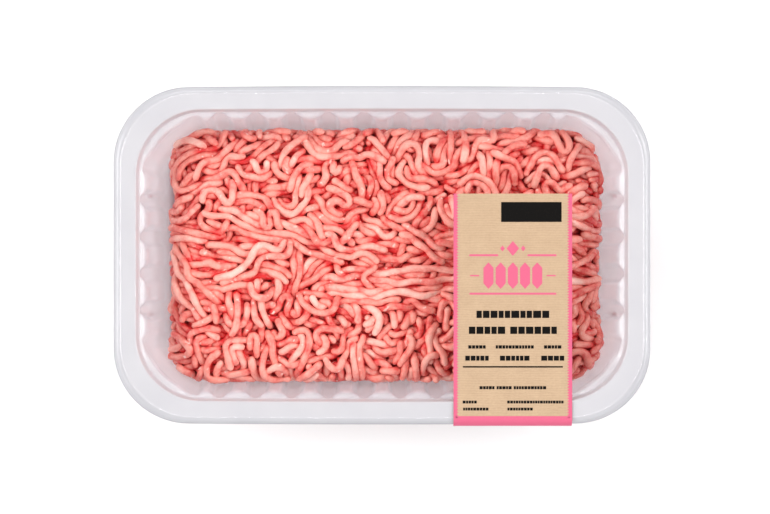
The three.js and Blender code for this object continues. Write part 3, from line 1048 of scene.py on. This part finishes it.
# Painted shade: how much darker a strand is painted where others lie over it, and on its sides and
# underside.
BURIED_SHADE = 0.25
UNDERSIDE_SHADE_START = 0.75
UNDERSIDE_SHADE = 0.2
SIDE_SEED = (0.3, 0.2, 0.93)
TIP_GIRTH = 0.03
GIRTH_WAVE = 0.06
GIRTH_LENGTHS = (1.1, 2.7)
OVAL = 0.05
OVAL_LENGTH = 4.0


def carried_sides(tangent):
    """A direction across the strand at each station, carried along without twist."""
    side = np.cross(tangent[0], SIDE_SEED)
    sides = []
    for direction in tangent:
        side = side - direction * side.dot(direction)
        side /= np.linalg.norm(side)
        sides.append(side)
    return np.array(sides)


def tube(rng, line, depth, radius):
    """Points, faces and painted shade of one strand with round ends and a lumpy girth: the shade makes
    it darker and redder where it lies buried and on its undersides.
    """
    curve = smooth_curve(line)
    run = np.concatenate([[0], np.cumsum(np.linalg.norm(np.diff(curve, axis=0), axis=1))])
    total = run[-1]
    tips = np.array(TIP_STATIONS) * radius
    pieces = max(3, round((total - 2 * tips[-1]) / TUBE_STEP) + 1)
    inner = np.linspace(tips[-1], total - tips[-1], pieces)
    at = np.concatenate([tips[:-1], inner, (total - tips[:-1])[::-1]])
    centre = np.stack([np.interp(at, run, curve[:, k]) for k in range(3)], axis=1)
    tangent = np.gradient(centre, axis=0)
    tangent /= np.linalg.norm(tangent, axis=1)[:, None]
    sides = carried_sides(tangent)
    others = np.cross(tangent, sides)
    edge = np.minimum(at, total - at) / radius
    girth = np.sqrt(np.clip(1 - (1 - np.clip(edge, 0, 1)) ** 2, TIP_GIRTH, 1))
    phases = rng.uniform(0, 2 * math.pi, 4)
    short, long = (GIRTH_WAVE * np.sin(at / length + p) for length, p in zip(GIRTH_LENGTHS, phases))
    girth *= 1 + short + long
    angles = np.arange(TUBE_SIDES) * 2 * math.pi / TUBE_SIDES
    lumps = 1 + OVAL * np.sin(2 * angles[None, :] + at[:, None] / OVAL_LENGTH + phases[2])
    reach = radius * girth[:, None] * lumps
    cosines, sines = np.cos(angles)[None, :, None], np.sin(angles)[None, :, None]
    outward = sides[:, None, :] * cosines + others[:, None, :] * sines
    points = centre[:, None, :] + reach[:, :, None] * outward
    last = (len(at) - 1) * TUBE_SIDES
    faces = ring_quads(len(at), TUBE_SIDES)
    faces.append(tuple(range(TUBE_SIDES))[::-1])
    faces.append(tuple(last + k for k in range(TUBE_SIDES)))
    depths = np.interp(at, np.linspace(0, total, len(depth)), depth)
    # Painted shade on the sides and underside, where the surface faces away from the top.
    undersides = np.clip(UNDERSIDE_SHADE_START - outward[:, :, 2], 0, 1)
    shade = BURIED_SHADE * depths[:, None] + UNDERSIDE_SHADE * undersides
    return points.reshape(-1, 3), faces, shade.ravel()


STREAK = dict(share=0.3, tone=(0.1, 0.34), reach=(2.0, 6.0))


def fat_streak(rng, points):
    """A paler stretch on some strands, as a tone for each point."""
    middle = points[rng.integers(len(points))]
    tone, reach = rng.uniform(*STREAK["tone"]), rng.uniform(*STREAK["reach"])
    if rng.random() > STREAK["share"]:
        return 0.0
    return tone * smooth_step(1.6 - 1.6 * np.linalg.norm(points - middle, axis=1) / reach)


def strands_mesh(rng, name, lines, depths, tones, material):
    """One mesh of many strands, with their tone stored on their points: random tone, fat streaks and
    painted shade, darker where strands lie buried and on their undersides.
    """
    points, faces, tone_and_shade = [], [], []
    start = 0
    for line, depth, tone in zip(lines, depths, tones):
        own, own_faces, shade = tube(rng, line, depth, STRAND_RADIUS * rng.uniform(0.93, 1.07))
        points.append(own)
        faces += [[start + i for i in face] for face in own_faces]
        tone_and_shade.append(tone - shade + fat_streak(rng, own))
        start += len(own)
    made = add_mesh(name, np.vstack(points), faces, material)
    set_attribute(made, "tone", np.concatenate(tone_and_shade))
    return made


PRESSED_INSIDE = 7.0
PRESSED_DROP = 0.35


def pressed_rows():
    """Strands pressed flat against the tray's floor, side by side and gently waving."""
    half = core_half - PRESSED_INSIDE
    most = math.floor(half[1] / STRAND_PITCH)
    rows = []
    for k in np.arange(-most, most + 1):
        x = np.arange(-half[0], half[0], BEAD_STEP)
        y = k * STRAND_PITCH + 1.3 * np.sin(x / 11 + 0.02 * k) + 0.9 * np.sin(x / 5.3 + 0.1 * k + 1)
        row = np.column_stack([x, y, np.full(len(x), LOWEST_STRAND - PRESSED_DROP)])
        side, _ = plan_distance(row[:, :2], half, CORE_CORNER - 3)
        start, end = longest_run(side < 0)
        row = row[start:end]
        cuts = np.arange(int(5 + 4 * (k % 3)), len(row), 17)
        rows += [part[:-1] for part in np.split(row, cuts) if len(part) > 5]
    return rows


def make_core(material):
    """The inside of the heap, a little below the lowest strands, painted a deep red as the shade seen in
    the gaps between them.
    """
    sheet_reach = core_half - CORE_CORNER + flat_limit()
    turns = np.arange(CORE_POINTS) * 2 * math.pi / CORE_POINTS
    corner = np.stack([np.cos(turns), np.sin(turns)], axis=1)
    rings = []
    for share in CORE_RINGS:
        square = corner / np.maximum(np.abs(corner).max(axis=1), 1e-9)[:, None] * sheet_reach * share
        near = np.clip(square, CORE_CORNER - core_half, core_half - CORE_CORNER)
        out = square - near
        length = np.linalg.norm(out, axis=1)
        limit = np.minimum(length, flat_limit())
        flat = near + out / np.maximum(length, 1e-9)[:, None] * limit[:, None]
        rings.append(on_heap(flat, np.full(CORE_POINTS, CORE_LIFT)))
    foot = rings[-1].copy()
    foot[:, 2] = CORE_FOOT
    rings.append(foot)
    middles = [(0, 0, core_top + swell(0, 0)), (0, 0, CORE_FOOT)]
    core = closed_skin("mince_core_shade", rings, middles, material)
    set_attribute(core, "tone", np.full(len(core.data.vertices), CORE_SHADE_TONE))
    return core


# Each kind's colours run from the darkest, reached mainly through painted shade, to the palest.
KIND_PARTS = ("name", "share", "tone", "colours")
KINDS = [
    dict(zip(KIND_PARTS, row))
    for row in (
        ("mince_lean", 0.36, (-0.06, 0.06), ((218, 38, 40), (246, 147, 133), (250, 174, 159))),
        ("mince_mixed", 0.46, (-0.04, 0.1), ((222, 44, 45), (248, 155, 141), (252, 182, 167))),
        ("mince_fat", 0.18, (-0.02, 0.14), ((226, 58, 56), (251, 166, 152), (254, 198, 184))),
    )
]
# Painted shade: the core's saturated deep red stands for the shade in the gaps between strands.
CORE_SHADE_COLOURS = ((224, 4, 14), (228, 8, 20), (232, 16, 28))


def make_mince():
    """All pieces that stand for the mince."""
    rng = np.random.default_rng(MINCE_SEED)
    lines, depths = settle(lay_out(rng))
    draw = rng.permutation(len(lines))
    materials = [meat(kind["name"], *kind["colours"]) for kind in KINDS]
    pieces = []
    start = 0
    for kind, material in zip(KINDS, materials):
        end = min(len(lines), start + math.ceil(kind["share"] * len(lines)))
        own = draw[start:end]
        tones = rng.uniform(*kind["tone"], len(own))
        own_lines, own_depths = [lines[i] for i in own], [depths[i] for i in own]
        pieces.append(strands_mesh(rng, kind["name"], own_lines, own_depths, tones, material))
        start = end
    rows = pressed_rows()
    tones = rng.uniform(-0.1, 0.2, len(rows))
    shallow = [np.zeros(len(row)) for row in rows]
    pieces.append(strands_mesh(rng, "mince_floor", rows, shallow, tones, materials[1]))
    pieces.append(make_core(meat("mince_core_shade", *CORE_SHADE_COLOURS)))
    return pieces


# Stage


def floor_material():
    material, tree = new_material("studio_floor")
    stops = [(0.3, (0.88, 0.88, 0.88, 1)), (0.7, (0.89, 0.89, 0.89, 1))]
    tint = ramp(tree, noise(tree, 2, detail=1.0), stops)
    set_shader(tree, {"Base Color": tint, "Roughness": 0.9, "Specular IOR Level": 0.1})
    return material


def make_stage():
    size = 4000.0
    corners = [(-size, -size, 0), (size, -size, 0), (size, size, 0), (-size, size, 0)]
    floor = add_mesh("studio_floor", corners, [(0, 1, 2, 3)], floor_material(), smooth=False)


# Each light's name, place and size in metres, and power in watts.
LIGHTS = (
    ("back_box", (0.0, 1.8, 3.0), (4.2, 2.4), 18.0),
    ("front_box", (0.0, -1.8, 3.0), (4.2, 2.4), 17.0),
    ("left_box", (-2.6, 0.3, 2.0), (1.6, 2.4), 45.0),
    ("right_box", (2.6, 0.3, 2.0), (1.6, 2.4), 40.0),
    ("back_strip", (0.0, 1.8, 1.7), (2.2, 0.14), 11.0),
    ("left_strip", (-1.8, 0.0, 1.7), (2.2, 0.14), 10.0),
    ("right_strip", (1.8, 0.0, 1.7), (2.2, 0.14), 10.0),
    ("front_strip", (0.0, -1.8, 1.7), (2.2, 0.1), 4.0),
)
WORLD_STRENGTH = 0.78
WORLD_BACK = 0.66


def aim(thing, target):
    direction = Vector(target) - thing.location
    thing.rotation_euler = direction.to_track_quat("-Z", "Y").to_euler()


def make_lights():
    for name, place, size, power in LIGHTS:
        data = bpy.data.lights.new(name, "AREA")
        data.shape = "RECTANGLE"
        data.size, data.size_y = size
        data.energy = power
        thing = bpy.data.objects.new(name, data)
        thing.location = place
        bpy.context.scene.collection.objects.link(thing)
        aim(thing, (0, 0, 0.03))


def make_world():
    """A white surround, dimmer overhead and towards the back."""
    world = bpy.data.worlds.new("studio")
    bpy.context.scene.world = world
    world.use_nodes = True
    tree = world.node_tree
    direction = add_node(tree, "ShaderNodeTexCoord", {}, "Generated")
    parts = add_node(tree, "ShaderNodeSeparateXYZ", {"Vector": direction}).node.outputs
    overhead = remap(tree, parts["Z"], (0.8, 0.97), (1.0, 0.1))
    behind = remap(tree, parts["Y"], (-0.5, 0.7), (WORLD_STRENGTH, WORLD_BACK))
    strength = combine(tree, "MULTIPLY", overhead, behind)
    set_inputs(tree, tree.nodes["Background"], {"Color": (1, 1, 1, 1), "Strength": strength})


CAMERA_DISTANCE = 1.0
FRAME_WIDTH = 0.3286
SENSOR = 36.0
CAMERA_OFFSET = (0.00128, -0.00075)


def make_camera():
    data = bpy.data.cameras.new("camera")
    data.sensor_width = SENSOR
    data.lens = SENSOR * CAMERA_DISTANCE / FRAME_WIDTH
    camera = bpy.data.objects.new("camera", data)
    camera.location = (*CAMERA_OFFSET, HEIGHT * MM + CAMERA_DISTANCE)
    bpy.context.scene.collection.objects.link(camera)
    bpy.context.scene.camera = camera


def add_piece(thing, node):
    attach(thing, "root")
    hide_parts(node)


bpy.context.scene.view_settings.view_transform = "Standard"
bpy.context.scene.view_settings.look = "None"
make_camera()
make_stage()
make_lights()
make_world()

add_piece(make_tray(tray_plastic()), "tray")
add_piece(make_film(clear_film()), "film")
add_piece(make_label(label_paper()), "label")

pink, black = Print(), Print()
print_borders(pink)
print_ornament(pink)
print_bars(black)
add_piece(pink.make("label_print_pink", ink("pink_ink", PINK_INK, 0.12)), "label")
add_piece(black.make("label_print_dark", ink("dark_ink", BLACK_INK, 0.02)), "label")

for piece in make_mince():
    add_piece(piece, "mince")
